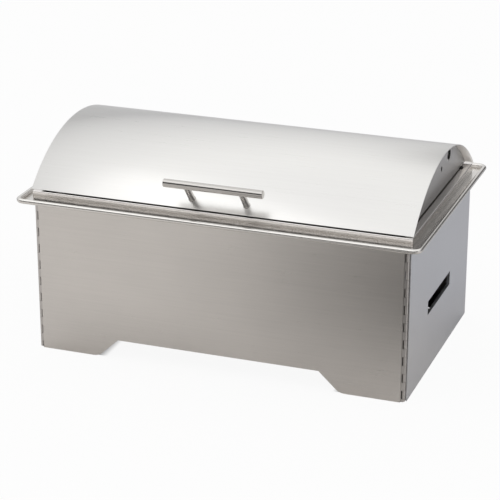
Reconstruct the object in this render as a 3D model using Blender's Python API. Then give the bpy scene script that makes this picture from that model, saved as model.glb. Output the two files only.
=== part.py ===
"""Folding chafing dish: a four-leaf stand on piano hinges, a top frame, two pans and a hinged domed lid.

Metres, +Z up. The front faces -Y, and the origin is on the floor, midway between the side panels.
"""

import math

import bmesh
import bpy
from mathutils import Matrix, Vector

MM = 0.001

# Fits shared by every piece
GAP = 0.3 * MM  # between two pieces that touch or are welded together
PAN_PLAY = 0.8 * MM  # each side, between the water pan and the frame opening it drops through

# Stand: a front panel, two side wings, and a rear panel hinged to the left wing
STAND_HALF_WIDTH = 275.4 * MM  # to each piano hinge's axis
HINGE_AXIS_Y = -165.5 * MM
RIGHT_WING_REAR_Y = 167.0 * MM
REAR_PANEL_RIGHT_X = 276.5 * MM
STAND_HEIGHT = 229.1 * MM
PANEL_SHEET = 1.2 * MM
PANEL_EDGE_BACK = 3.8 * MM  # from a hinge's axis to the edge of each panel
RECESS_HALF_WIDTH = 152.5 * MM
RECESS_HEIGHT = 29.0 * MM
RECESS_SLOPE = math.radians(43)
FOOT_FILLET = 20.0 * MM
SLOT_LENGTH = 122.0 * MM
SLOT_HEIGHT = 21.0 * MM
SLOT_CENTRE_Z = 99.5 * MM
SLOT_CENTRE_Y = -0.7 * MM
SLOT_LIP = 3.0 * MM

# Piano hinges
HINGE_SHEET = 0.8 * MM
HINGE_PIN_RADIUS = 1.1 * MM
HINGE_LEAF_WIDTH = 14.0 * MM
HINGE_BOTTOM = 1.0 * MM
HINGE_TOP_BELOW_STAND = 1.2 * MM
KNUCKLE_PITCH = 12.7 * MM
KNUCKLE_START_LEFT = 9.4 * MM  # height of the first joint between knuckles
KNUCKLE_START_RIGHT = 4.8 * MM

# Top frame
FRAME_HALF_X = 299.6 * MM
FRAME_HALF_Y = 190.9 * MM
FRAME_CORNER = 14.0 * MM
FRAME_SHEET = 1.0 * MM
BEAD_RADIUS = 3.5 * MM
SKIRT_HEIGHT = 15.0 * MM
SKIRT_SHEET = 1.0 * MM

# Pans, at their outside: half length, half width and corner radius
PAN_SHEET = 0.8 * MM
FOOD_RIM = (265.0 * MM, 162.5 * MM, 18.0 * MM)
FOOD_BODY = (254.0 * MM, 151.5 * MM, 40.0 * MM)
FOOD_DEPTH = 65.0 * MM
WATER_BODY_ROOM = 3.0 * MM  # each side, between the two pans' walls
WATER_DEPTH = 100.0 * MM
WATER_RIM_ROOM = 0.5 * MM
PAN_DRAFT = 7.5 * MM
PAN_FLOOR_FILLET = 12.0 * MM

# Lid
COLLAR_HALF_X = 281.5 * MM
COLLAR_HALF_Y = 167.0 * MM
COLLAR_HEIGHT = 12.2 * MM
COLLAR_CORNER = 3.0 * MM
COLLAR_SHEET = 1.0 * MM
COLLAR_LEDGE_X = 15.0 * MM
COLLAR_LEDGE_Y = 2.0 * MM
LID_LIFT = 2.3 * MM  # the slot left between the collar and the dome
DOME_HALF_LENGTH = 282.5 * MM
DOME_HALF_CHORD = 165.4 * MM
DOME_RISE = 67.6 * MM
DOME_SHEET = 1.0 * MM
DOME_FACETS = 26
END_INSET = 12.5 * MM
END_SHEET = 1.0 * MM
END_FLANGE = 12.0 * MM
VENT_SMALL = (23.0 * MM, 33.5 * MM, 4.0 * MM)  # y, height above the dome's edge, radius
VENT_LARGE = (64.0 * MM, 42.0 * MM, 9.0 * MM)
BUMPER_RADIUS = 3.4 * MM
BUMPER_Y = 140.0 * MM

# Handle
HANDLE_ANGLE = math.radians(40.6)  # from the top of the dome toward the front
HANDLE_STANDOFF = 36.0 * MM  # from the dome to the bar's centre line
BAR_RADIUS = 6.0 * MM
BAR_LENGTH = 146.0 * MM
BAR_BEVEL = 0.8 * MM
POST_SPACING = 81.0 * MM
POST_RADIUS = 4.6 * MM
POST_SOCKET = 4.0 * MM  # how far a post enters the bar
SCREW_RADIUS = 2.0 * MM
SCREW_HEAD = (4.5 * MM, 2.8 * MM)  # radius, height
SCREW_REACH = 12.0 * MM
WASHER = (6.5 * MM, 1.0 * MM)

# Lid hinges
LID_HINGE_X = 180.0 * MM
LID_HINGE_LENGTH = 60.0 * MM
LID_HINGE_SHEET = 1.0 * MM
LID_HINGE_PIN = 1.2 * MM
LID_LEAF_UP = 22.0 * MM

# Fuel tray, cans, holders and snuffers
TRAY_HALF_X = 215.0 * MM
TRAY_HALF_Y = 78.0 * MM
TRAY_CENTRE_Y = 8.0 * MM
TRAY_HEIGHT = 12.0 * MM
TRAY_CORNER = 14.0 * MM
TRAY_SHEET = 1.0 * MM
FUEL_X = 130.0 * MM
CAN_RADIUS = 42.5 * MM
CAN_HEIGHT = 58.0 * MM
CAN_MOUTH = 21.0 * MM
CAN_SHEET = 0.5 * MM
HOLDER_PLAY = 1.0 * MM
HOLDER_HEIGHT = 26.0 * MM
HOLDER_SHEET = 1.0 * MM
SNUFFER_SHEET = 1.2 * MM
SNUFFER_LIFT = 0.6 * MM
PIVOT_RADIUS = 2.0 * MM
PIVOT_OUT = 5.0 * MM  # from the holder's wall to the pivot's centre
EAR_RADIUS = 5.0 * MM

# Heights and places that follow from the sizes above
BARREL_RADIUS = HINGE_PIN_RADIUS + GAP + HINGE_SHEET
PANEL_OUT = BARREL_RADIUS + GAP + PANEL_SHEET  # from a hinge's axis to a panel's outer face
HINGE_TOP = STAND_HEIGHT - HINGE_TOP_BELOW_STAND
FRAME_BOTTOM = STAND_HEIGHT + GAP
FRAME_TOP = FRAME_BOTTOM + FRAME_SHEET
COLLAR_BOTTOM = FRAME_TOP + GAP
COLLAR_TOP = COLLAR_BOTTOM + COLLAR_HEIGHT
DOME_EDGE_Z = COLLAR_TOP + LID_LIFT
DOME_RADIUS = (DOME_HALF_CHORD**2 + DOME_RISE**2) / (2 * DOME_RISE)
DOME_CENTRE_Z = DOME_EDGE_Z + DOME_RISE - DOME_RADIUS
DOME_HALF_ANGLE = math.asin(DOME_HALF_CHORD / DOME_RADIUS)
END_OUTER_X = DOME_HALF_LENGTH - END_INSET
WATER_BODY = tuple(size + WATER_BODY_ROOM for size in FOOD_BODY)
WATER_RIM = tuple(size + WATER_RIM_ROOM for size in FOOD_RIM)
LID_BARREL = LID_HINGE_PIN + GAP + LID_HINGE_SHEET
LID_AXIS_Y = COLLAR_HALF_Y + GAP + LID_BARREL
LID_LEAF_DROP = (LID_AXIS_Y + LID_BARREL - DOME_HALF_CHORD) * math.tan(DOME_HALF_ANGLE)
LID_AXIS_Z = DOME_EDGE_Z - LID_LEAF_DROP - LID_HINGE_SHEET


def clear_scene():
    for obj in list(bpy.data.objects):
        bpy.data.objects.remove(obj, do_unlink=True)


def make_material(name, colour, roughness, metallic):
    material = bpy.data.materials.new(name)
    material.use_nodes = True
    shader = material.node_tree.nodes["Principled BSDF"]
    shader.inputs["Base Color"].default_value = (*colour, 1)
    shader.inputs["Roughness"].default_value = roughness
    shader.inputs["Metallic"].default_value = metallic
    return material


def add_mesh(name, points, faces, material, location=(0, 0, 0), turn=(0, 0, 0)):
    """A mesh object with its faces turned outward. The points are in the object's own frame."""
    mesh = bpy.data.meshes.new(name)
    mesh.from_pydata([tuple(point) for point in points], [], faces)
    work = bmesh.new()
    work.from_mesh(mesh)
    bmesh.ops.recalc_face_normals(work, faces=work.faces)
    work.to_mesh(mesh)
    work.free()
    mesh.shade_smooth()
    mesh.set_sharp_from_angle(angle=math.radians(30))
    obj = bpy.data.objects.new(name, mesh)
    obj.location = location
    obj.rotation_euler = turn
    bpy.context.scene.collection.objects.link(obj)
    mesh.materials.append(material)
    return obj


def add_cutter(name, points, faces, location=(0, 0, 0), turn=(0, 0, 0)):
    cutter = add_mesh(name, points, faces, MATERIALS["guide"], location, turn)
    cutter.hide_render = True
    cutter.display_type = "WIRE"
    return cutter


def combine(obj, tool, operation):
    modifier = obj.modifiers.new(tool.name, "BOOLEAN")
    modifier.operation = operation
    modifier.solver = "EXACT"
    modifier.object = tool


def prism(outline, low, high, place):
    """Points and faces of an outline extruded from low to high; place maps (u, v, w) to a point."""
    count = len(outline)
    points = [place(u, v, w) for w in (low, high) for u, v in outline]
    sides = [(i, (i + 1) % count, (i + 1) % count + count, i + count) for i in range(count)]
    return points, [tuple(range(count)), tuple(range(count, 2 * count))] + sides


def box(low, high):
    outline = [(low[0], low[1]), (high[0], low[1]), (high[0], high[1]), (low[0], high[1])]
    return prism(outline, low[2], high[2], lambda u, v, w: (u, v, w))


def join_shapes(shapes):
    """Several closed shapes as one list of points and faces, for a cutter with many blocks."""
    points, faces = [], []
    for more_points, more_faces in shapes:
        start = len(points)
        points += more_points
        faces += [tuple(index + start for index in face) for face in more_faces]
    return points, faces


def rounded_rectangle(half_x, half_y, radius, steps=5):
    """One loop of a rectangle with arcs at its corners, counterclockwise."""
    loop = []
    for quarter, (sign_x, sign_y) in enumerate(((1, 1), (-1, 1), (-1, -1), (1, -1))):
        for step in range(steps + 1):
            angle = math.pi / 2 * (quarter + step / steps)
            x = sign_x * (half_x - radius) + radius * math.cos(angle)
            y = sign_y * (half_y - radius) + radius * math.sin(angle)
            loop.append((x, y))
    return loop


def loft(loops, closed):
    """Faces between loops of equal length: a ring of skin when closed, else capped at both ends."""
    count = len(loops[0])
    points = [point for loop in loops for point in loop]
    spans = len(loops) if closed else len(loops) - 1
    faces = []
    for row in range(spans):
        here, there = row * count, (row + 1) % len(loops) * count
        for i in range(count):
            j = (i + 1) % count
            faces.append((here + i, here + j, there + j, there + i))
    if not closed:
        faces += [tuple(range(count)), tuple(range(len(points) - count, len(points)))]
    return points, faces


def ring_loft(sections, closed):
    """A loft of rounded rectangles, each given as (half x, half y, corner radius, z)."""
    loops = [[(x, y, z) for x, y in rounded_rectangle(hx, hy, r)] for hx, hy, r, z in sections]
    return loft(loops, closed)


def turned(profile, closed=False, sides=20):
    """A profile of (radius, z) turned about Z."""
    angles = [2 * math.pi * i / sides for i in range(sides)]
    loops = [[(r * math.cos(a), r * math.sin(a), z) for a in angles] for r, z in profile]
    return loft(loops, closed)


def make_long_panel(name, left_edge, right_edge, side, axis):
    """Sheet with a trapezoid recess along its foot; a convex fillet leads from each foot into the slope."""
    corner = RECESS_HALF_WIDTH + RECESS_HEIGHT / math.tan(RECESS_SLOPE)
    tangent = FOOT_FILLET * math.tan(RECESS_SLOPE / 2)
    foot = []
    for step in range(6):
        angle = RECESS_SLOPE * step / 5
        x = corner + tangent - FOOT_FILLET * math.sin(angle)
        foot.append((x, FOOT_FILLET * (1 - math.cos(angle))))
    foot.append((RECESS_HALF_WIDTH, RECESS_HEIGHT))
    outline = [(right_edge, STAND_HEIGHT), (right_edge, 0)] + foot
    outline += [(-x, z) for x, z in reversed(foot)] + [(left_edge, 0), (left_edge, STAND_HEIGHT)]
    faces = sorted((side * PANEL_OUT, side * (PANEL_OUT - PANEL_SHEET)))
    shape = prism(outline, *faces, lambda u, v, w: (u - axis[0], w, v))
    add_mesh(name, *shape, MATERIALS["steel"], axis)


def make_side_panel(side, name, rear_y):
    """Wing with a hand slot, whose edges are turned inward. Its origin is on the hinge's axis."""
    outer, inner = side * PANEL_OUT, side * (PANEL_OUT - PANEL_SHEET)
    length = rear_y - HINGE_AXIS_Y
    slot_y = SLOT_CENTRE_Y - HINGE_AXIS_Y
    half, rise = SLOT_LENGTH / 2, SLOT_HEIGHT / 2
    lip = (side * (PANEL_OUT - PANEL_SHEET - SLOT_LIP), outer - side * GAP)
    low, high = sorted((outer, inner)), sorted(lip)
    axis = (side * STAND_HALF_WIDTH, HINGE_AXIS_Y, 0)
    sheet = box((low[0], PANEL_EDGE_BACK, 0), (low[1], length, STAND_HEIGHT))
    panel = add_mesh(name, *sheet, MATERIALS["steel"], axis)
    wall = PANEL_SHEET
    block = box(
        (high[0], slot_y - half - wall, SLOT_CENTRE_Z - rise - wall),
        (high[1], slot_y + half + wall, SLOT_CENTRE_Z + rise + wall),
    )
    combine(panel, add_cutter(name + "_lip", *block, axis), "UNION")
    reach = 2 * (PANEL_OUT + SLOT_LIP)
    hole = box(
        (-reach, slot_y - half, SLOT_CENTRE_Z - rise),
        (reach, slot_y + half, SLOT_CENTRE_Z + rise),
    )
    combine(panel, add_cutter(name + "_slot", *hole, axis), "DIFFERENCE")


def leaf_outline(width, sheet, barrel, arc_steps=12):
    """Flat leaf along +u whose end curls three quarters of a turn about the origin."""
    bore = barrel - sheet
    angles = [math.pi / 2 * (1 + 3 * step / arc_steps) for step in range(arc_steps + 1)]
    outside = [(barrel * math.cos(a), barrel * math.sin(a)) for a in angles]
    inside = [(bore * math.cos(a), bore * math.sin(a)) for a in reversed(angles)]
    return [(width, barrel)] + outside + inside + [(width, bore)]


def knuckles(start, odd):
    """(low, high) of every second knuckle, between the hinge's two ends."""
    first = math.ceil((start - HINGE_BOTTOM) / KNUCKLE_PITCH)
    joints = [start + KNUCKLE_PITCH * k for k in range(-first, 40)]
    joints = [z for z in joints if HINGE_BOTTOM < z < HINGE_TOP]
    ends = [HINGE_BOTTOM] + joints + [HINGE_TOP]
    pairs = list(zip(ends[:-1], ends[1:]))
    return pairs[odd::2]


def make_piano_leaf(name, axis, along, out, missing):
    """A leaf over the hinge's whole height, with the other leaf's knuckles cut out of its barrel."""
    outline = leaf_outline(HINGE_LEAF_WIDTH, HINGE_SHEET, BARREL_RADIUS)
    along, out = Vector(along), Vector(out)
    shape = prism(outline, HINGE_BOTTOM, HINGE_TOP, lambda u, v, w: along * u + out * v + Vector((0, 0, w)))
    leaf = add_mesh(name, *shape, MATERIALS["hinge"], axis)
    reach = BARREL_RADIUS + 2 * GAP
    notch = [(-2 * reach, -2 * reach), (reach, -2 * reach), (reach, 2 * reach), (-2 * reach, 2 * reach)]
    blocks = []
    for low, high in missing:
        low = -reach if low == HINGE_BOTTOM else low - GAP / 2
        high = HINGE_TOP + reach if high == HINGE_TOP else high + GAP / 2
        blocks.append(prism(notch, low, high, lambda u, v, w: along * u + out * v + Vector((0, 0, w))))
    combine(leaf, add_cutter(name + "_notches", *join_shapes(blocks), axis), "DIFFERENCE")


def make_piano_hinge(word, side, end, start, side_first):
    """Hinge at one corner: side is -1 at the left, end is -1 at the front; side_first starts with the wing's knuckle."""
    axis = (side * STAND_HALF_WIDTH, -end * HINGE_AXIS_Y, 0)
    side_knuckles = knuckles(start, 0 if side_first else 1)
    panel_knuckles = knuckles(start, 1 if side_first else 0)
    make_piano_leaf(f"hinge_{word}_panel_leaf", axis, (-side, 0, 0), (0, end, 0), side_knuckles)
    make_piano_leaf(f"hinge_{word}_wing_leaf", axis, (0, -end, 0), (side, 0, 0), panel_knuckles)
    pin = turned([(HINGE_PIN_RADIUS, HINGE_BOTTOM), (HINGE_PIN_RADIUS, HINGE_TOP)], sides=12)
    add_mesh(f"hinge_{word}_pin", *pin, MATERIALS["pin"], axis)


def make_top_frame():
    """Flange with an opening for the water pan, its outer edge rolled up into a bead."""
    opening = [size + PAN_PLAY for size in WATER_BODY]
    centre_z = FRAME_BOTTOM + BEAD_RADIUS
    sections = [(*opening, FRAME_BOTTOM)]
    for step in range(11):
        angle = math.radians(-90 + 305 * step / 10)
        inset = BEAD_RADIUS * (1 - math.cos(angle))
        z = centre_z + BEAD_RADIUS * math.sin(angle)
        sections.append((FRAME_HALF_X - inset, FRAME_HALF_Y - inset, FRAME_CORNER - inset, z))
    inset = 2.1 * BEAD_RADIUS
    sections.append((FRAME_HALF_X - inset, FRAME_HALF_Y - inset, FRAME_CORNER - inset, FRAME_TOP))
    sections.append((*opening, FRAME_TOP))
    add_mesh("top_frame", *ring_loft(sections, True), MATERIALS["steel"])


def make_frame_skirt():
    """Band under the flange that locates it inside the stand's panels, clear of the hinge barrels."""
    half_x = STAND_HALF_WIDTH - BARREL_RADIUS - 2 * GAP
    half_y = -HINGE_AXIS_Y - BARREL_RADIUS - 2 * GAP
    corner = 3 * SKIRT_SHEET
    top, bottom = FRAME_BOTTOM - GAP, FRAME_BOTTOM - GAP - SKIRT_HEIGHT
    inner = (half_x - SKIRT_SHEET, half_y - SKIRT_SHEET, corner - SKIRT_SHEET)
    outer = (half_x, half_y, corner)
    sections = [(*outer, bottom), (*outer, top), (*inner, top), (*inner, bottom)]
    add_mesh("top_frame_skirt", *ring_loft(sections, True), MATERIALS["steel"])


def pan_sections(body, rim, top, depth):
    """Skin of a rimmed pan: up its inside, over the rim and down its outside."""
    floor = top - depth
    drop, sheet = PAN_FLOOR_FILLET, PAN_SHEET

    def wall(shrink, z):
        draft = PAN_DRAFT * (top - z) / depth
        return (body[0] - draft - shrink, body[1] - draft - shrink, body[2] - shrink, z)

    def floor_turn(shrink, radius, z, steps=4):
        turn = []
        for step in range(steps + 1):
            angle = math.pi / 2 * step / steps
            inward = radius * (1 - math.sin(angle))
            size = wall(shrink + inward, z + radius * (1 - math.cos(angle)))
            turn.append((size[0], size[1], max(size[2], sheet), size[3]))
        return turn

    inside = floor_turn(sheet, drop - sheet, floor + sheet)
    outside = floor_turn(0, drop, floor)
    lip = [wall(sheet, top), (*rim, top), (*rim, top - sheet), wall(0, top - sheet)]
    return inside + lip + outside[::-1]


def make_pans():
    water_top = FRAME_TOP + GAP + PAN_SHEET
    food_top = water_top + GAP + PAN_SHEET
    water = ring_loft(pan_sections(WATER_BODY, WATER_RIM, water_top, WATER_DEPTH), False)
    food = ring_loft(pan_sections(FOOD_BODY, FOOD_RIM, food_top, FOOD_DEPTH), False)
    add_mesh("water_pan", *water, MATERIALS["steel"])
    add_mesh("food_pan", *food, MATERIALS["steel"])


def make_collar():
    """Upright band on the flange, turned inward along its top, widest at the ends."""
    outer = (COLLAR_HALF_X, COLLAR_HALF_Y, COLLAR_CORNER)
    wall = tuple(size - COLLAR_SHEET for size in outer)
    ledge = (COLLAR_HALF_X - COLLAR_LEDGE_X, COLLAR_HALF_Y - COLLAR_LEDGE_Y, COLLAR_SHEET)
    below = COLLAR_TOP - COLLAR_SHEET
    sections = [(*outer, COLLAR_BOTTOM), (*outer, COLLAR_TOP), (*ledge, COLLAR_TOP)]
    sections += [(*ledge, below), (*wall, below), (*wall, COLLAR_BOTTOM)]
    add_mesh("lid_collar", *ring_loft(sections, True), MATERIALS["steel"])


def dome_arc(radius, half_angle, steps):
    angles = [half_angle * (2 * step / steps - 1) for step in range(steps + 1)]
    return [(radius * math.sin(a), DOME_CENTRE_Z + radius * math.cos(a)) for a in angles]


def handle_frame(x):
    """Where a post stands on the dome, and the turn that brings Z to the dome's outward normal."""
    y = -DOME_RADIUS * math.sin(HANDLE_ANGLE)
    z = DOME_CENTRE_Z + DOME_RADIUS * math.cos(HANDLE_ANGLE)
    return (x, y, z), (HANDLE_ANGLE, 0, 0)


def make_dome():
    """Sheet bent to one arc, pierced where the handle's screws pass."""
    outline = dome_arc(DOME_RADIUS, DOME_HALF_ANGLE, DOME_FACETS)
    outline += dome_arc(DOME_RADIUS - DOME_SHEET, DOME_HALF_ANGLE, DOME_FACETS)[::-1]
    shape = prism(outline, -DOME_HALF_LENGTH, DOME_HALF_LENGTH, lambda u, v, w: (w, u, v))
    dome = add_mesh("lid_dome", *shape, MATERIALS["steel"])
    drill = turned([(SCREW_RADIUS + GAP, -5 * DOME_SHEET), (SCREW_RADIUS + GAP, 5 * DOME_SHEET)], sides=12)
    for side, word in ((-1, "left"), (1, "right")):
        place, turn = handle_frame(side * POST_SPACING / 2)
        combine(dome, add_cutter(f"dome_drill_{word}", *drill, place, turn), "DIFFERENCE")


def make_lid_end(side, word):
    """Upright plate under the dome, with two round holes and a foot turned inward."""
    radius = DOME_RADIUS - DOME_SHEET - GAP
    height = DOME_EDGE_Z - DOME_CENTRE_Z
    half_angle = math.acos(height / radius)
    face = side * END_OUTER_X
    inner = face - side * END_SHEET
    arc = dome_arc(radius, half_angle, DOME_FACETS)
    shape = prism(arc, *sorted((face, inner)), lambda u, v, w: (w, u, v))
    plate = add_mesh(f"lid_end_{word}", *shape, MATERIALS["steel"])
    foot_y = BUMPER_Y + 3 * BUMPER_RADIUS
    across = sorted((face - side * GAP, face - side * END_FLANGE))
    foot = box(
        (across[0], -foot_y, DOME_EDGE_Z),
        (across[1], foot_y, DOME_EDGE_Z + END_SHEET),
    )
    combine(plate, add_cutter(f"lid_end_{word}_foot", *foot), "UNION")
    drills = []
    for y, up, drill_radius in (VENT_SMALL, VENT_LARGE):
        circle = turned([(drill_radius, -5 * END_SHEET), (drill_radius, 5 * END_SHEET)], sides=24)
        place = Matrix.Translation((face, y, DOME_EDGE_Z + up)) @ Matrix.Rotation(math.pi / 2, 4, "Y")
        drills.append(([place @ Vector(point) for point in circle[0]], circle[1]))
    combine(plate, add_cutter(f"lid_end_{word}_holes", *join_shapes(drills)), "DIFFERENCE")


def make_bumpers():
    """Rubber buttons on the collar's ledges, which carry the lid."""
    x = COLLAR_HALF_X - COLLAR_LEDGE_X + GAP + BUMPER_RADIUS
    low, high = COLLAR_TOP + GAP, DOME_EDGE_Z - GAP
    shape = turned([(BUMPER_RADIUS, low), (BUMPER_RADIUS, (low + high) / 2), (0.8 * BUMPER_RADIUS, high)], sides=16)
    for sign_x, across in ((-1, "left"), (1, "right")):
        for sign_y, along in ((-1, "front"), (1, "rear")):
            place = (sign_x * x, sign_y * BUMPER_Y, 0)
            add_mesh(f"bumper_{along}_{across}", *shape, MATERIALS["rubber"], place)


def make_handle():
    """Round bar on two posts, each screwed from inside the dome through a washer."""
    base, turn = handle_frame(0)
    normal = Vector((0, -math.sin(HANDLE_ANGLE), math.cos(HANDLE_ANGLE)))
    half = BAR_LENGTH / 2
    profile = [(BAR_RADIUS - BAR_BEVEL, -half), (BAR_RADIUS, BAR_BEVEL - half)]
    profile += [(r, -z) for r, z in reversed(profile)]
    points, faces = turned(profile)
    bar_place = Vector(base) + normal * HANDLE_STANDOFF
    bar = add_mesh("handle_bar", [(z, x, y) for x, y, z in points], faces, MATERIALS["handle"], bar_place, turn)
    socket_floor = HANDLE_STANDOFF - BAR_RADIUS + POST_SOCKET
    socket = turned([(POST_RADIUS + GAP, 0), (POST_RADIUS + GAP, socket_floor)])
    for side, word in ((-1, "left"), (1, "right")):
        place, turn = handle_frame(side * POST_SPACING / 2)
        combine(bar, add_cutter(f"post_socket_{word}", *socket, place, turn), "DIFFERENCE")
        make_handle_post(word, place, turn, socket_floor - GAP)


def make_handle_post(word, place, turn, top):
    under = -(DOME_SHEET + GAP)
    bore = SCREW_RADIUS + GAP
    post = [(bore, GAP), (POST_RADIUS, GAP), (POST_RADIUS, top), (0.1 * MM, top)]
    post += [(0.1 * MM, SCREW_REACH + GAP), (bore, SCREW_REACH + GAP)]
    add_mesh(f"handle_post_{word}", *turned(post, closed=True), MATERIALS["handle"], place, turn)
    washer = [(bore, under - WASHER[1]), (WASHER[0], under - WASHER[1]), (WASHER[0], under), (bore, under)]
    add_mesh(f"handle_washer_{word}", *turned(washer, closed=True), MATERIALS["pin"], place, turn)
    head = under - WASHER[1] - GAP
    screw = [(SCREW_HEAD[0] * 0.8, head - SCREW_HEAD[1]), (SCREW_HEAD[0], head - SCREW_HEAD[1] / 2)]
    screw += [(SCREW_HEAD[0], head), (SCREW_RADIUS, head), (SCREW_RADIUS, SCREW_REACH)]
    add_mesh(f"handle_screw_{word}", *turned(screw), MATERIALS["pin"], place, turn)


def make_lid_hinge(side, word):
    """Butt hinge behind the collar: the lower leaf on its wall, the upper leaf bent onto the dome."""
    axis = (side * LID_HINGE_X, LID_AXIS_Y, LID_AXIS_Z)
    low, high = -LID_HINGE_LENGTH / 2, LID_HINGE_LENGTH / 2
    third = LID_HINGE_LENGTH / 6
    barrel, sheet = LID_BARREL, LID_HINGE_SHEET
    down = LID_AXIS_Z - COLLAR_BOTTOM - GAP
    outline = [(-v, -u) for u, v in leaf_outline(down, sheet, barrel)]
    shape = prism(outline, low, high, lambda u, v, w: (w, u, v))
    lower = add_mesh(f"lid_hinge_{word}_lower_leaf", *shape, MATERIALS["hinge"], axis)
    reach = barrel + 2 * GAP
    middle = box((-third - GAP / 2, -reach, -reach), (third + GAP / 2, reach, 2 * reach))
    combine(lower, add_cutter(f"lid_hinge_{word}_middle", *middle, axis), "DIFFERENCE")
    make_upper_leaf(f"lid_hinge_{word}_upper_leaf", axis, third)
    pin = turned([(LID_HINGE_PIN, low), (LID_HINGE_PIN, high)], sides=12)
    points = [(z, x, y) for x, y, z in pin[0]]
    add_mesh(f"lid_hinge_{word}_pin", points, pin[1], MATERIALS["pin"], axis)


def make_upper_leaf(name, axis, third):
    """The leaf leaves its barrel straight up at the back, then leans forward along the dome."""
    barrel, sheet = LID_BARREL, LID_HINGE_SHEET
    bore = barrel - sheet
    lean = Vector((-math.cos(DOME_HALF_ANGLE), math.sin(DOME_HALF_ANGLE)))
    normal = Vector((math.sin(DOME_HALF_ANGLE), math.cos(DOME_HALF_ANGLE)))
    edge = Vector((DOME_HALF_CHORD - LID_AXIS_Y, DOME_EDGE_Z - LID_AXIS_Z))
    inner = edge + normal * (2 * GAP)
    outer = inner + normal * sheet
    rise_in = inner.y + (bore - inner.x) / lean.x * lean.y
    rise_out = outer.y + (barrel - outer.x) / lean.x * lean.y
    angles = [-math.pi * 1.5 * step / 12 for step in range(13)]
    curl_out = [(barrel * math.cos(a), barrel * math.sin(a)) for a in angles]
    curl_in = [(bore * math.cos(a), bore * math.sin(a)) for a in reversed(angles)]
    tip_out, tip_in = outer + lean * LID_LEAF_UP, inner + lean * LID_LEAF_UP
    outline = [tuple(tip_out), (barrel, rise_out)] + curl_out + curl_in + [(bore, rise_in), tuple(tip_in)]
    half = LID_HINGE_LENGTH / 2
    shape = prism(outline, -half, half, lambda u, v, w: (w, u, v))
    leaf = add_mesh(name, *shape, MATERIALS["hinge"], axis)
    reach = barrel + 2 * GAP
    top = DOME_EDGE_Z - LID_AXIS_Z - GAP
    blocks = [
        box((sign * third - GAP / 2 if sign > 0 else -2 * half, -2 * reach, -2 * reach),
            (2 * half if sign > 0 else sign * third + GAP / 2, 2 * reach, top))
        for sign in (-1, 1)
    ]
    combine(leaf, add_cutter(name + "_ends", *join_shapes(blocks), axis), "DIFFERENCE")


def make_fuel_tray():
    """Shallow drip tray that stands on the table under the pans."""
    outer = (TRAY_HALF_X, TRAY_HALF_Y, TRAY_CORNER)
    inner = tuple(size - TRAY_SHEET for size in outer)
    draft = 2 * TRAY_SHEET
    foot, floor = tuple(size - draft for size in outer), tuple(size - draft for size in inner)
    sections = [(*floor, TRAY_SHEET), (*inner, TRAY_HEIGHT), (*outer, TRAY_HEIGHT), (*foot, 0)]
    place = (0, TRAY_CENTRE_Y, 0)
    add_mesh("fuel_tray", *ring_loft(sections, False), MATERIALS["steel"], place)


def make_fuel_holder(side, word):
    """Cup with an ear that carries the snuffer's pivot, the can in it and the snuffer over it."""
    base = TRAY_SHEET + GAP
    place = Vector((side * FUEL_X, TRAY_CENTRE_Y, base))
    inner = CAN_RADIUS + HOLDER_PLAY
    outer = inner + HOLDER_SHEET
    cup = turned([(inner, HOLDER_SHEET), (inner, HOLDER_HEIGHT), (outer, HOLDER_HEIGHT), (outer, 0)], sides=36)
    holder = add_mesh(f"fuel_holder_{word}", *cup, MATERIALS["tin"], place)
    pivot_x = outer + PIVOT_OUT
    ear = box(
        (inner + HOLDER_SHEET / 2, -EAR_RADIUS, HOLDER_HEIGHT / 2),
        (pivot_x + EAR_RADIUS, EAR_RADIUS, HOLDER_HEIGHT - GAP),
    )
    combine(holder, add_cutter(f"fuel_ear_{word}", *ear, place), "UNION")
    bore = PIVOT_RADIUS + GAP
    drill = turned([(bore, 0), (bore, 2 * HOLDER_HEIGHT)], sides=12)
    pivot_place = place + Vector((pivot_x, 0, 0))
    combine(holder, add_cutter(f"fuel_ear_drill_{word}", *drill, pivot_place), "DIFFERENCE")
    make_fuel_can(word, place + Vector((0, 0, HOLDER_SHEET + GAP)))
    cover_z = HOLDER_SHEET + GAP + CAN_HEIGHT + SNUFFER_LIFT
    make_snuffer(word, pivot_place, pivot_x, cover_z)


def make_fuel_can(word, place):
    """Tin whose lid is open at the mouth."""
    lid, wall = CAN_HEIGHT - CAN_SHEET, CAN_RADIUS - CAN_SHEET
    profile = [(CAN_RADIUS, 0), (CAN_RADIUS, CAN_HEIGHT), (CAN_MOUTH, CAN_HEIGHT)]
    profile += [(CAN_MOUTH, lid), (wall, lid), (wall, CAN_SHEET)]
    add_mesh(f"fuel_can_{word}", *turned(profile, sides=32), MATERIALS["can"], place)


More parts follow.
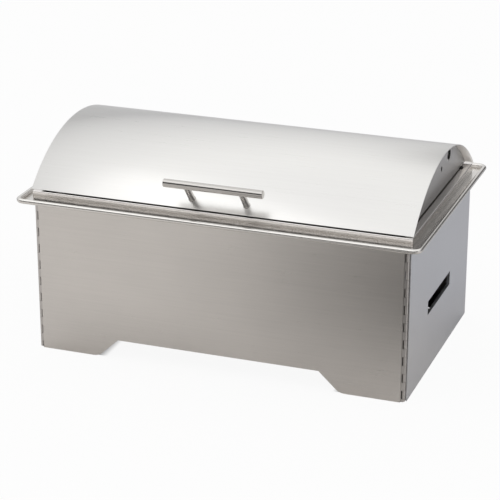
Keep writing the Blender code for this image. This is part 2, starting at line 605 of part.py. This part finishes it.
def make_snuffer(word, place, reach, z):
    """Flat cover that swings about the pivot; its outline is the hull of a disc and a small ear."""
    lean = math.acos((CAN_RADIUS - EAR_RADIUS) / reach)
    outline = []
    for step in range(31):
        angle = lean + (2 * math.pi - 2 * lean) * step / 30
        outline.append((-reach + CAN_RADIUS * math.cos(angle), CAN_RADIUS * math.sin(angle)))
    for step in range(9):
        angle = -lean + 2 * lean * step / 8
        outline.append((EAR_RADIUS * math.cos(angle), EAR_RADIUS * math.sin(angle)))
    cover = prism(outline, z, z + SNUFFER_SHEET, lambda u, v, w: (u, v, w))
    snuffer = add_mesh(f"snuffer_{word}", *cover, MATERIALS["tin"], place)
    bore = PIVOT_RADIUS + GAP
    drill = turned([(bore, z - 5 * SNUFFER_SHEET), (bore, z + 5 * SNUFFER_SHEET)], sides=12)
    combine(snuffer, add_cutter(f"snuffer_drill_{word}", *drill, place), "DIFFERENCE")
    head, foot = z + SNUFFER_SHEET + GAP, HOLDER_HEIGHT / 2 - GAP
    wide = 1.7 * PIVOT_RADIUS
    collar = z - GAP
    profile = [(wide, foot - wide), (wide, foot), (PIVOT_RADIUS, foot)]
    profile += [(PIVOT_RADIUS, HOLDER_HEIGHT), (wide, HOLDER_HEIGHT), (wide, collar)]
    profile += [(PIVOT_RADIUS, collar), (PIVOT_RADIUS, head), (wide, head), (wide, head + wide / 2)]
    add_mesh(f"snuffer_pivot_{word}", *turned(profile, sides=12), MATERIALS["pin"], place)


def build():
    edge = STAND_HALF_WIDTH - PANEL_EDGE_BACK
    make_long_panel("front_panel", -edge, edge, -1, (0, HINGE_AXIS_Y, 0))
    make_long_panel("rear_panel", -edge, REAR_PANEL_RIGHT_X, 1, (-STAND_HALF_WIDTH, -HINGE_AXIS_Y, 0))
    make_side_panel(-1, "left_side_panel", -HINGE_AXIS_Y - PANEL_EDGE_BACK)
    make_side_panel(1, "right_side_panel", RIGHT_WING_REAR_Y)
    make_piano_hinge("front_left", -1, -1, KNUCKLE_START_LEFT, True)
    make_piano_hinge("front_right", 1, -1, KNUCKLE_START_RIGHT, False)
    make_piano_hinge("rear_left", -1, 1, KNUCKLE_START_RIGHT, False)
    for side, word in ((-1, "left"), (1, "right")):
        make_lid_end(side, word)
        make_lid_hinge(side, word)
        make_fuel_holder(side, word)
    make_top_frame()
    make_frame_skirt()
    make_pans()
    make_collar()
    make_dome()
    make_bumpers()
    make_handle()
    make_fuel_tray()


clear_scene()
MATERIALS = {
    "steel": make_material("brushed_steel", (0.62, 0.61, 0.60), 0.32, 1),
    "hinge": make_material("hinge_steel", (0.50, 0.49, 0.48), 0.38, 1),
    "pin": make_material("pin_steel", (0.66, 0.66, 0.66), 0.25, 1),
    "handle": make_material("polished_steel", (0.70, 0.69, 0.68), 0.18, 1),
    "tin": make_material("tinned_steel", (0.55, 0.55, 0.54), 0.35, 1),
    "can": make_material("can_enamel", (0.20, 0.22, 0.24), 0.45, 0),
    "rubber": make_material("rubber", (0.03, 0.03, 0.03), 0.8, 0),
    "guide": make_material("guide", (0.8, 0.2, 0.1), 0.5, 0),
}
build()
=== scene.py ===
import math

import bpy
import numpy as np
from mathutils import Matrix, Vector


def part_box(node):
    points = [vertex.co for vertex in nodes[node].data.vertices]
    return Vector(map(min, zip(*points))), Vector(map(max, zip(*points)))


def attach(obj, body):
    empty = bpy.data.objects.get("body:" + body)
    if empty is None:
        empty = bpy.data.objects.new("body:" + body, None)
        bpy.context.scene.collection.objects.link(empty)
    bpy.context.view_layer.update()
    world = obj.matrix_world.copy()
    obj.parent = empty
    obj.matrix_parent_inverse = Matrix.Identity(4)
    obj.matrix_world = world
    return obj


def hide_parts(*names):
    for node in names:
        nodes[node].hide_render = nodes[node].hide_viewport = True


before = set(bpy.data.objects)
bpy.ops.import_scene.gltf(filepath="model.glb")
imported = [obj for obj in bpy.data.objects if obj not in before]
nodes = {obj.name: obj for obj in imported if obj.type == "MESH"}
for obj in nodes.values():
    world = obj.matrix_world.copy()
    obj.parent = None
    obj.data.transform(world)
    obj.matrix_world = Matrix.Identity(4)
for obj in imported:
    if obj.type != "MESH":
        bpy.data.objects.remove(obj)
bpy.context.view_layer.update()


# ---------------------------------------------------------------------------
# Front and rear panels of the folding stand: 1.2 mm stainless sheet, laser
# cut with a trapezoid recess between two feet. They are brushed along their
# length, and spot welds at their sides hold the leaves of the piano hinges.

class Socket:
    """A shader value that takes part in Python arithmetic; each operation adds its Math node."""

    def __init__(self, tree, link):
        self.tree, self.link = tree, link

    def math(self, operation, first, second):
        return node(self.tree, "ShaderNodeMath", {"operation": operation}, {0: first, 1: second}, 0)

    def __add__(self, other):
        return self.math("ADD", self, other)

    __radd__ = __add__

    def __sub__(self, other):
        return self.math("SUBTRACT", self, other)

    def __rsub__(self, other):
        return self.math("SUBTRACT", other, self)

    def __mul__(self, other):
        return self.math("MULTIPLY", self, other)

    __rmul__ = __mul__

    def power(self, other):
        return self.math("POWER", self, other)

    def clamped(self):
        return node(self.tree, "ShaderNodeClamp", {}, {"Value": self}, "Result")


def node(tree, kind, settings, inputs, output):
    """Adds one node: its settings first, then its sockets' values or links. Gives back one output."""
    made = tree.nodes.new(kind)
    for key, value in settings.items():
        if key == "stops":
            ramp = made.color_ramp
            while len(ramp.elements) < len(value):
                ramp.elements.new(0.5)
            for element, (place, colour) in zip(ramp.elements, value):
                element.position, element.color = place, (*colour, 1)
        else:
            setattr(made, key, value)
    for key, value in inputs.items():
        if isinstance(value, Socket):
            tree.links.new(value.link, made.inputs[key])
        else:
            made.inputs[key].default_value = value
    return Socket(tree, made.outputs[output])


def blank_material(name, **constants):
    """A Principled material with its unchanging values set on the shader's own sockets."""
    material = bpy.data.materials.new(name)
    material.use_nodes = True
    shader = material.node_tree.nodes["Principled BSDF"]
    for key, value in constants.items():
        shader.inputs[key.replace("_", " ")].default_value = value
    return material, material.node_tree, shader


def feed(tree, shader, key, value):
    tree.links.new(value.link, shader.inputs[key])


def noise(tree, stretch, scale, detail=3.0, roughness=0.55):
    """Noise on the object's own coordinates, stretched along an axis by small factors there."""
    place = node(tree, "ShaderNodeTexCoord", {}, {}, "Object")
    turned = node(tree, "ShaderNodeMapping", {}, {"Vector": place, "Scale": stretch}, "Vector")
    sockets = {"Vector": turned, "Scale": scale, "Detail": detail, "Roughness": roughness}
    return node(tree, "ShaderNodeTexNoise", {}, sockets, "Fac")


def mix_colour(tree, factor, first, second):
    made = tree.nodes.new("ShaderNodeMix")
    made.data_type = "RGBA"
    tree.links.new(factor.link, made.inputs["Factor"])
    for key, value in (("A", first), ("B", second)):
        socket = [s for s in made.inputs if s.name == key and s.type == "RGBA"][0]
        if isinstance(value, Socket):
            tree.links.new(value.link, socket)
        else:
            socket.default_value = (*value, 1)
    return Socket(tree, [s for s in made.outputs if s.type == "RGBA"][0])


def brushed_steel(name, along, pale, dark, gloss=0.27, depth=0.00006, clouds=0.10):
    """Stainless sheet with a straight grain: fine and coarse streaks along one axis, and clouds of tone.

    Streaks lighten and darken the metal a little and change its roughness; the finest also stand in relief.
    """
    stretch = [1.0, 1.0, 1.0]
    stretch["XYZ".index(along)] = 0.012
    material, tree, shader = blank_material(name, Metallic=1.0)
    fine = noise(tree, stretch, 1500.0, 4.0, 0.7)
    coarse = noise(tree, stretch, 260.0, 3.0, 0.6)
    cloud = noise(tree, (1.0, 1.0, 1.0), 7.0, 2.0, 0.5)
    smudge = noise(tree, (1.0, 1.0, 1.0), 38.0, 4.0, 0.6)
    streak = fine * 0.55 + coarse * 0.45
    tone = ((streak - 0.5) * 1.2 + (cloud - 0.5) * (clouds * 6.0) + 0.5).clamped()
    feed(tree, shader, "Base Color", mix_colour(tree, tone, dark, pale))
    feed(tree, shader, "Roughness", gloss + (streak - 0.5) * 0.16 + (smudge - 0.5) * 0.06)
    bump = node(tree, "ShaderNodeBump", {}, {"Height": streak, "Strength": 0.5, "Distance": depth}, "Normal")
    feed(tree, shader, "Normal", bump)
    return material


def dress(names, material):
    for name in names:
        obj = nodes[name]
        obj.data.materials.clear()
        obj.data.materials.append(material)


front_steel = brushed_steel("front_steel", "X", (0.83, 0.80, 0.77), (0.70, 0.68, 0.655), 0.30, clouds=0.14)
dress(["front_panel", "rear_panel"], front_steel)


# ---------------------------------------------------------------------------
# Side wings: the same sheet, brushed upright, each with a hand slot whose
# edges are folded inward so that they don't cut the fingers.

wing_steel = brushed_steel("wing_steel", "Z", (0.79, 0.80, 0.83), (0.70, 0.71, 0.74), 0.33, 0.00003, 0.05)
dress(["left_side_panel", "right_side_panel"], wing_steel)


# ---------------------------------------------------------------------------
# Piano hinges at the two front corners and the rear left one: rolled leaves
# in thinner strip, left mill bright, knuckle against knuckle on one long pin.
# They are spot-welded behind the panels.

leaf_steel = brushed_steel("leaf_steel", "Z", (0.74, 0.72, 0.70), (0.52, 0.50, 0.49), 0.34, 0.00004)
pin_steel = brushed_steel("pin_steel", "Z", (0.80, 0.79, 0.78), (0.66, 0.65, 0.64), 0.22, 0.00002)
dress([name for name in nodes if name.startswith("hinge_") and name.endswith("leaf")], leaf_steel)
dress([name for name in nodes if name.startswith("hinge_") and name.endswith("pin")], pin_steel)


# ---------------------------------------------------------------------------
# Top frame: a pressed flange that rests on the four panels. Its outer edge
# is rolled up into a hollow bead, and a welded skirt under it keeps it
# centred between them.

def skin(name, grid, material, node_name, body, wrap_rows=True, caps=False, crease=35):
    """A closed surface from a grid of points, rows by columns.

    The columns always wrap round. The rows wrap too, or the first and last rows are capped.
    The shell is turned round if its signed volume is negative, so its faces point outward.
    """
    rows, columns = grid.shape[:2]
    index = np.arange(rows * columns).reshape(rows, columns)
    here = index if wrap_rows else index[:-1]
    below = np.roll(index, -1, axis=0)[: len(here)]
    quads = np.stack([here, np.roll(here, -1, 1), np.roll(below, -1, 1), below], axis=-1).reshape(-1, 4)
    points = grid.reshape(-1, 3)
    a, b, c, d = (points[quads[:, i]] for i in range(4))
    volume = np.einsum("ij,ij->i", a, np.cross(b, c)).sum() + np.einsum("ij,ij->i", a, np.cross(c, d)).sum()
    faces = quads.tolist()
    if caps:
        faces += [index[0][::-1].tolist(), index[-1].tolist()]
        for ring in (index[0][::-1], index[-1]):
            first, rest = points[ring[0]], points[ring]
            volume += np.einsum("j,ij->i", first, np.cross(rest[1:-1], rest[2:])).sum()
    if volume < 0:
        faces = [face[::-1] for face in faces]
    mesh = bpy.data.meshes.new(name)
    mesh.from_pydata(points.tolist(), [], faces)
    mesh.materials.append(material)
    mesh.shade_smooth()
    mesh.set_sharp_from_angle(angle=math.radians(crease))
    obj = bpy.data.objects.new(name, mesh)
    bpy.context.scene.collection.objects.link(obj)
    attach(obj, body)
    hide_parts(node_name)
    return obj


def band(sections, steps=14):
    """Rounded rectangles stacked into a grid, one row for each (half x, half y, corner radius, z).

    Each row runs straight along the sides and in quarter circles round the corners.
    """
    half_x, half_y, radius, z = np.asarray(sections, float).T[:, :, None]
    turn = np.linspace(0, math.pi / 2, steps + 1)
    angle = np.concatenate([turn + math.pi / 2 * quarter for quarter in range(4)])[None]
    sign_x = np.repeat([1, -1, -1, 1], steps + 1)[None]
    sign_y = np.repeat([1, 1, -1, -1], steps + 1)[None]
    x = sign_x * (half_x - radius) + radius * np.cos(angle)
    y = sign_y * (half_y - radius) + radius * np.sin(angle)
    return np.stack([x, y, z + 0 * x], axis=-1)


low, high = (np.array(corner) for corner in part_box("top_frame"))
sheet = 0.001
bead = 0.0035
bead_z = low[2] + bead
corner = 0.014
opening = (0.2578, 0.1553, 0.0428)  # half length, half width and corner radius
curl_sheet = 0.0007
frame_top = low[2] + sheet
# The rolled edge seen in section: up the outside of the curl, round and down into the
# groove, then back inside.
outer_arc = np.radians(np.linspace(-90, 222, 30))
inner_arc = outer_arc[::-1]
rolled = [(high[0] - bead + r * math.cos(a), high[1] - bead + r * math.cos(a), bead_z + r * math.sin(a))
          for arc, r in ((outer_arc, bead), (inner_arc, bead - curl_sheet)) for a in arc]
sections = [(*opening, low[2])]
sections += [(x, y, corner - (high[0] - x), z) for x, y, z in rolled]
flat = high[0] - bead
sections += [(flat, high[1] - bead, corner - bead, frame_top), (*opening, frame_top)]
frame_steel = brushed_steel("frame_steel", "X", (0.86, 0.84, 0.81), (0.76, 0.74, 0.72), 0.24, 0.00003)
skin("rolled_frame", band(sections), frame_steel, "top_frame", "frame")
dress(["top_frame_skirt"], frame_steel)


# ---------------------------------------------------------------------------
# Water pan and food pan: deep-drawn, with rounded corners and floors. Each
# hangs by its rim, the food pan inside the water pan.

def drawn_pan(top, depth, body, rim, draft=0.0075, wall=0.0008, fillet=0.012):
    """Skin of a pan: from the middle of its floor up the inside, over the rim and down the outside.

    The rim's edge is turned down in a small half circle; the floor turns up in a quarter circle.
    """
    def side(inset, z):
        lean = draft * (top - z) / depth
        return [body[0] - lean - inset, body[1] - lean - inset, body[2] - inset, z]

    def floor_turn(inset, radius, level):
        angles = np.linspace(0, math.pi / 2, 10)
        return [side(inset + radius * (1 - math.sin(a)), level + radius * (1 - math.cos(a))) for a in angles]

    bottom = top - depth
    inside = floor_turn(wall, fillet - wall, bottom + wall)
    outside = floor_turn(0, fillet, bottom)
    edge = np.radians(np.linspace(90, -60, 8))
    roll = [(rim[0] - wall / 2 * (1 - math.cos(a)), rim[1] - wall / 2 * (1 - math.cos(a)), rim[2],
             top - wall / 2 + wall / 2 * math.sin(a)) for a in edge]
    lip = [side(wall, top - 0.002), side(wall - 0.0006, top - 0.0005), side(wall - 0.002, top)]
    under = [side(-0.002, top - wall), side(-0.0006, top - wall - 0.0005), side(0, top - wall - 0.002)]
    return band(inside + lip + roll + under + outside[::-1])


pan_steel = brushed_steel("pan_steel", "X", (0.84, 0.83, 0.81), (0.72, 0.71, 0.69), 0.22, 0.00002)
for name, body, rim, depth in (
    ("water_pan", (0.257, 0.1545, 0.043), (0.2655, 0.163, 0.0185), 0.100),
    ("food_pan", (0.254, 0.1515, 0.040), (0.265, 0.1625, 0.018), 0.065),
):
    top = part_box(name)[1][2]
    skin("drawn_" + name, drawn_pan(top, depth, body, rim), pan_steel, name, name, False, True)


# ---------------------------------------------------------------------------
# Collar of the lid: an upright band of 1 mm sheet standing on the flange,
# folded inward along its top. Rubber buttons on its end ledges carry the lid,
# and the lower leaves of two butt hinges are welded behind it.

low, high = (np.array(corner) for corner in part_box("lid_collar"))
fold = 0.0014
bend = np.linspace(0, math.pi / 2, 7)
ledge = (0.015, 0.002)


def collar_row(inset, radius, z):
    return (high[0] - inset, high[1] - inset, radius, z)


outside = [collar_row(0, 0.003, low[2])]
outside += [collar_row(fold * (1 - math.cos(a)), 0.003, high[2] - fold * (1 - math.sin(a))) for a in bend]
inner_lip = [(high[0] - ledge[0], high[1] - ledge[1], 0.001, z) for z in (high[2], high[2] - sheet)]
inside = [collar_row(sheet, 0.002, high[2] - fold), collar_row(sheet, 0.002, low[2])]
collar_steel = brushed_steel("collar_steel", "X", (1.0, 0.97, 0.95), (0.93, 0.90, 0.88), 0.20, 0.00002, 0.06)
skin("folded_collar", band(outside + inner_lip + inside, 8), collar_steel, "lid_collar", "collar")

rubber, tree, shader = blank_material("button_rubber", Roughness=0.75)
grime = noise(tree, (1.0, 1.0, 1.0), 400.0)
feed(tree, shader, "Base Color", mix_colour(tree, grime, (0.015, 0.015, 0.016), (0.05, 0.05, 0.05)))
dress([name for name in nodes if name.startswith("bumper")], rubber)
dress([name for name in nodes if name.startswith("lid_hinge") and name.endswith("leaf")], leaf_steel)
dress([name for name in nodes if name.startswith("lid_hinge") and name.endswith("pin")], pin_steel)


# ---------------------------------------------------------------------------
# Dome of the lid: one sheet rolled to a single arc, brushed along its length.
# Its bare edges are rounded, and it overhangs the end plates that carry it.

low, high = (np.array(corner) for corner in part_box("lid_dome"))
half_chord = high[1]
lid_lift = 0.0023  # the slot left between the collar and the dome
rise = high[2] - (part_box("lid_collar")[1][2] + lid_lift)
radius = (half_chord**2 + rise**2) / (2 * rise)
middle = high[2] - radius
half_angle = math.asin(half_chord / radius)
edge_round = 0.0003


def sheet_outline(count=90):
    """The arc's section as a closed loop: along the outside, round one edge, back along the inside."""
    sweep = np.linspace(-half_angle, half_angle, count)
    outer = np.stack([radius * np.sin(sweep), middle + radius * np.cos(sweep)], -1)
    inner_radius = radius - sheet
    inner = np.stack([inner_radius * np.sin(sweep), middle + inner_radius * np.cos(sweep)], -1)[::-1]
    return np.concatenate([outer, inner])


def along_x(outline, half, inset_outline, round_off):
    """The section carried along X, drawn in a little at both ends to round the cut edges."""
    stations = [(-half, inset_outline), (-half + round_off, outline), (half - round_off, outline),
                (half, inset_outline)]
    rows = [np.concatenate([np.full((len(shape), 1), x), shape], axis=1) for x, shape in stations]
    return np.stack(rows)


outline = sheet_outline()
centre_radius = radius - sheet / 2
spoke = np.stack([outline[:, 0], outline[:, 1] - middle], -1)
length = np.linalg.norm(spoke, axis=1, keepdims=True)
drawn_in = spoke / length * (centre_radius + (length - centre_radius) * 0.4) + np.array([0, middle])
dome_steel = brushed_steel("dome_steel", "X", (0.91, 0.905, 0.89), (0.82, 0.81, 0.795), 0.30, 0.00004, 0.04)
skin("rolled_dome", along_x(outline, high[0], drawn_in, edge_round), dome_steel, "lid_dome", "lid",
     False, True, 50)


# ---------------------------------------------------------------------------
# End plates of the lid: flat sheet under the overhanging dome, fillet-welded
# along the arc, with two round holes and a foot folded inward.

# The end plates' steel is painted much darker than the dome's: painted shade for the shadow under the
# overhanging dome.
shaded_end_steel = brushed_steel("shaded_end_steel", "Y", (0.58, 0.57, 0.565), (0.46, 0.455, 0.45), 0.30, 0.00003)
dress(["lid_end_left", "lid_end_right"], shaded_end_steel)


# ---------------------------------------------------------------------------
# Handle: a 12 mm polished bar on two posts, screwed from inside the dome. The
# posts are let into the bar and welded, which leaves a small fillet.

def turned(profile, origin, axis, sides=48):
    """Rings about an axis through origin: each row is one (radius, distance along the axis)."""
    axis = np.asarray(axis, float)
    side = np.cross(axis, (1.0, 0.0, 0.0) if abs(axis[0]) < 0.9 else (0.0, 1.0, 0.0))
    side /= np.linalg.norm(side)
    other = np.cross(axis, side)
    angle = np.linspace(0, 2 * math.pi, sides, endpoint=False)[None, :, None]
    r, along = (np.asarray(column, float)[:, None, None] for column in zip(*profile))
    return np.asarray(origin) + along * axis + r * (np.cos(angle) * side + np.sin(angle) * other)


def rounded_end(radius, tip, inward, round_off, count=6):
    """The last stretch of a profile: a quarter circle of round_off, then flat to the middle."""
    angles = np.linspace(0, math.pi / 2, count)
    return [(radius - round_off * (1 - math.cos(a)), tip - inward * round_off * (1 - math.sin(a)))
            for a in angles] + [(0.3 * radius, tip)]


handle_steel, tree, shader = blank_material("handle_steel", Metallic=1.0)
ring_grain = noise(tree, (0.03, 1.0, 1.0), 900.0, 3.0, 0.6)
feed(tree, shader, "Base Color", mix_colour(tree, ring_grain, (0.52, 0.50, 0.48), (0.70, 0.68, 0.66)))
feed(tree, shader, "Roughness", 0.12 + ring_grain * 0.10)
low, high = (np.array(corner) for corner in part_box("handle_bar"))
bar_radius = (high[2] - low[2]) / 2
bar_middle = (low + high) / 2
end = rounded_end(bar_radius, high[0], 1, 0.0009)
profile = [(r, -x) for r, x in reversed(end)] + end
bar = turned(profile, (0, *bar_middle[1:]), (1, 0, 0))
skin("t_bar", bar, handle_steel, "handle_bar", "lid", False, True, 50)

slope = math.atan2(-bar_middle[1], bar_middle[2] - middle)
outward = np.array([0, -math.sin(slope), math.cos(slope)])
standoff = math.hypot(bar_middle[1], bar_middle[2] - middle) - radius
for word in ("left", "right"):
    low, high = (np.array(corner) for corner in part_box("handle_post_" + word))
    foot = np.array([(low[0] + high[0]) / 2, 0, middle]) + outward * radius
    thick = (high[0] - low[0]) / 2
    stand = standoff - bar_radius
    flare = [(thick + 0.0006, 0.0003), (thick + 0.0002, 0.0008), (thick, 0.0016)]
    neck = [(thick, stand - 0.001), (thick + 0.0002, stand + 0.0005), (thick + 0.0006, stand + 0.0026)]
    skin("post_" + word, turned(flare + neck, foot, outward, 32), handle_steel, "handle_post_" + word,
         "lid", False, True, 50)
dress([name for name in nodes if name.startswith(("handle_screw", "handle_washer"))], pin_steel)


# ---------------------------------------------------------------------------
# Burners: a drip tray on the table with two cups spot-welded to it, a tin of
# gel in each, and flat snuffer covers that swing on rivets.

tin_steel = brushed_steel("tin_steel", "X", (0.78, 0.78, 0.77), (0.62, 0.62, 0.61), 0.28, 0.00002)
low, high = (np.array(corner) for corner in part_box("fuel_tray"))
centre = (low + high) / 2
half = (high - low) / 2
wall = 0.001
rows = []
for inset, turn in ((wall, np.linspace(0, math.pi / 2, 7)), (0.0, np.linspace(math.pi / 2, 0, 7))):
    bend_radius = 0.003 - inset
    arc = [(0.002 + inset + bend_radius * (1 - math.sin(a)), inset + bend_radius * (1 - math.cos(a)))
           for a in turn]
    lip = [(inset, high[2])]
    rows += arc + lip if inset else lip + arc
tray = band([(half[0] - inset, half[1] - inset, 0.014 - min(inset, 0.006), z) for inset, z in rows])
skin("drip_tray", tray + np.array([0, centre[1], 0]), tin_steel, "fuel_tray", "fuel", False, True)

can_paint, tree, shader = blank_material("can_paint", Metallic=0.0, Coat_Weight=0.3)
speck = noise(tree, (1.0, 1.0, 1.0), 90.0)
feed(tree, shader, "Base Color", mix_colour(tree, speck, (0.12, 0.14, 0.16), (0.17, 0.19, 0.21)))
feed(tree, shader, "Roughness", 0.38 + speck * 0.15)
for word in ("left", "right"):
    low, high = (np.array(corner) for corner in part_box("fuel_can_" + word))
    axis_point = ((low[0] + high[0]) / 2, (low[1] + high[1]) / 2, low[2])
    r, tall, mouth, tin = (high[0] - low[0]) / 2, high[2] - low[2], 0.021, 0.0005
    seam = [(r - 0.0012, 0), (r, 0.0008), (r, 0.0026), (r - 0.001, 0.0038)]
    ribs = [(r - 0.0010 - 0.0005 * math.sin(a) ** 2, 0.018 + 0.022 * a / (3 * math.pi))
            for a in np.linspace(0, 3 * math.pi, 31)]
    top = [(r - 0.001, tall - 0.0038), (r, tall - 0.0026), (r, tall - 0.0006), (r - 0.0008, tall),
           (r - 0.0018, tall - 0.0004), (r - 0.0022, tall - 0.003), (mouth + 0.003, tall - 0.003),
           (mouth + 0.001, tall - 0.0018), (mouth, tall - 0.003)]
    hollow = [(mouth, tall - 0.0036), (r - 0.0035, tall - 0.0036), (r - 0.0035, tin)]
    grid = turned(seam + ribs + top + hollow, axis_point, (0, 0, 1), 64)
    skin("gel_tin_" + word, grid, can_paint, "fuel_can_" + word, "fuel", False, True)
dress([name for name in nodes if name.startswith(("fuel_holder", "snuffer"))], tin_steel)


# ---------------------------------------------------------------------------
# Stage: a pale floor and a plain white surround. A wide soft light hangs over
# the front of the object. The surround is brightest overhead, and the floor
# and surround have dim parts that only the metal reflects.

span = 30.0
floor_mesh = bpy.data.meshes.new("floor")
floor_mesh.from_pydata([(-span, -span, -0.0004), (span, -span, -0.0004), (span, span, -0.0004),
                        (-span, span, -0.0004)], [], [(0, 1, 2, 3)])
floor = bpy.data.objects.new("floor", floor_mesh)
bpy.context.scene.collection.objects.link(floor)
floor_paint = bpy.data.materials.new("floor_paint")
floor_paint.use_nodes = True
tree = floor_paint.node_tree
tree.nodes.clear()
camera_ray = node(tree, "ShaderNodeLightPath", {}, {}, "Is Camera Ray")
place = node(tree, "ShaderNodeTexCoord", {}, {}, "Object")
across = node(tree, "ShaderNodeSeparateXYZ", {}, {"Vector": place}, "X")
along = node(tree, "ShaderNodeSeparateXYZ", {}, {"Vector": place}, "Y")


def ramp_up(value, start, end):
    """0 below start, 1 above end, and a straight slope between them."""
    sockets = {"Value": value, "From Min": start, "From Max": end, "To Min": 0.0, "To Max": 1.0}
    return node(tree, "ShaderNodeMapRange", {}, sockets, "Result")


away = ((across - 0.36) * (across - 0.36) + (along + 0.76) * (along + 0.76)).power(0.5)
tone = mix_colour(tree, ramp_up(away, 0.22, 0.62), (0.07, 0.067, 0.065), (0.78, 0.755, 0.735))
tone = mix_colour(tree, ramp_up(along, 0.0, 0.25), tone, (0.60, 0.60, 0.62))
tone = mix_colour(tree, camera_ray, tone, (0.92, 0.92, 0.92))
# The light that gets in under the front panel doesn't reach far across the floor inside the stand, so that
# floor is painted near black as a painted shadow, and the camera's plain white is taken off it there.
beside = ramp_up(across * across, 0.172**2, 0.190**2)
behind = ramp_up(along, -0.095, -0.075)
inside = (ramp_up(across * across, 0.2752**2, 0.2748**2) * ramp_up(along * along, 0.166**2, 0.1655**2)
          * (beside + behind).clamped())
tone = mix_colour(tree, inside, tone, (0.01, 0.01, 0.01))
matt = node(tree, "ShaderNodeBsdfDiffuse", {}, {"Color": tone}, "BSDF")
white = node(tree, "ShaderNodeEmission", {}, {"Color": (1, 1, 1, 1), "Strength": 1.0}, "Emission")
paper_share = 0.93  # how much of the floor the camera sees as plain white; the rest takes the shadow
# The painted shadow inside the stand also takes the plain white away from the camera there.
whiteness = camera_ray * paper_share * (1.0 - inside)
blend = node(tree, "ShaderNodeMixShader", {}, {0: whiteness, 1: matt, 2: white}, "Shader")
out = tree.nodes.new("ShaderNodeOutputMaterial")
tree.links.new(blend.link, out.inputs["Surface"])
floor_mesh.materials.append(floor_paint)

world = bpy.data.worlds.new("surround")
bpy.context.scene.world = world
world.use_nodes = True
tree = world.node_tree
tree.nodes.clear()
camera_ray = node(tree, "ShaderNodeLightPath", {}, {}, "Is Camera Ray")
direction = node(tree, "ShaderNodeTexCoord", {}, {}, "Generated")
height = node(tree, "ShaderNodeSeparateXYZ", {}, {"Vector": direction}, "Z")
behind = node(tree, "ShaderNodeSeparateXYZ", {}, {"Vector": direction}, "Y")
stops = [(0.0, (0.62, 0.62, 0.63)), (0.30, (0.78, 0.78, 0.78)), (0.62, (0.94, 0.94, 0.935)),
         (0.85, (1.05, 1.05, 1.04)), (1.0, (1.0, 1.0, 1.0))]
sky = node(tree, "ShaderNodeValToRGB", {"stops": stops}, {"Fac": height}, "Color")
# A dark band in front of the object, a little above eye level, gives the round pieces their dark line.
band_low, band_high = ramp_up(height, 0.02, 0.14), ramp_up(height, 0.66, 0.48)
ahead = ramp_up(behind, -0.20, -0.45)
sky = mix_colour(tree, band_low * band_high * ahead, sky, (0.05, 0.048, 0.045))
# The far right is dim too, which darkens the lid's end and the flange beside it.
beside = node(tree, "ShaderNodeSeparateXYZ", {}, {"Vector": direction}, "X")
dim = ramp_up(beside, 0.02, 0.22) * ramp_up(height, 0.75, 0.45) * ramp_up(behind, 0.1, 0.4)
sky = mix_colour(tree, dim, sky, (0.12, 0.118, 0.116))
soft = node(tree, "ShaderNodeBackground", {}, {"Color": sky, "Strength": 0.96}, "Background")
plain = node(tree, "ShaderNodeBackground", {}, {"Color": (1, 1, 1, 1), "Strength": 1.0}, "Background")
blend = node(tree, "ShaderNodeMixShader", {}, {0: camera_ray, 1: soft, 2: plain}, "Shader")
out = tree.nodes.new("ShaderNodeOutputWorld")
tree.links.new(blend.link, out.inputs["Surface"])

lamp = bpy.data.lights.new("soft_light", "AREA")
lamp.shape, lamp.size, lamp.size_y, lamp.energy = "RECTANGLE", 4.4, 1.6, 7.0
light = bpy.data.objects.new("soft_light", lamp)
light.location = (-0.7, -1.2, 2.2)
light.rotation_euler = (Vector((0, 0, 0.2)) - light.location).to_track_quat("-Z", "Y").to_euler()
bpy.context.scene.collection.objects.link(light)

azimuth, elevation, distance = math.radians(20.02), math.radians(21.46), 2.8265
back = Vector((math.sin(azimuth) * math.cos(elevation), -math.cos(azimuth) * math.cos(elevation),
               math.sin(elevation)))
right = (-back).cross(Vector((0, 0, 1))).normalized()
upward = right.cross(-back)
target = Vector((0, 0, 0.18)) - right * 0.00996 - upward * 0.04873
camera_data = bpy.data.cameras.new("camera")
camera_data.sensor_width, camera_data.lens = 36.0, 138.4
camera_data.clip_start, camera_data.clip_end = 0.1, 60.0
camera = bpy.data.objects.new("camera", camera_data)
camera.location = target + back * distance
camera.rotation_euler = (-back).to_track_quat("-Z", "Y").to_euler()
bpy.context.scene.collection.objects.link(camera)
bpy.context.scene.camera = camera
bpy.context.scene.view_settings.view_transform = "Standard"
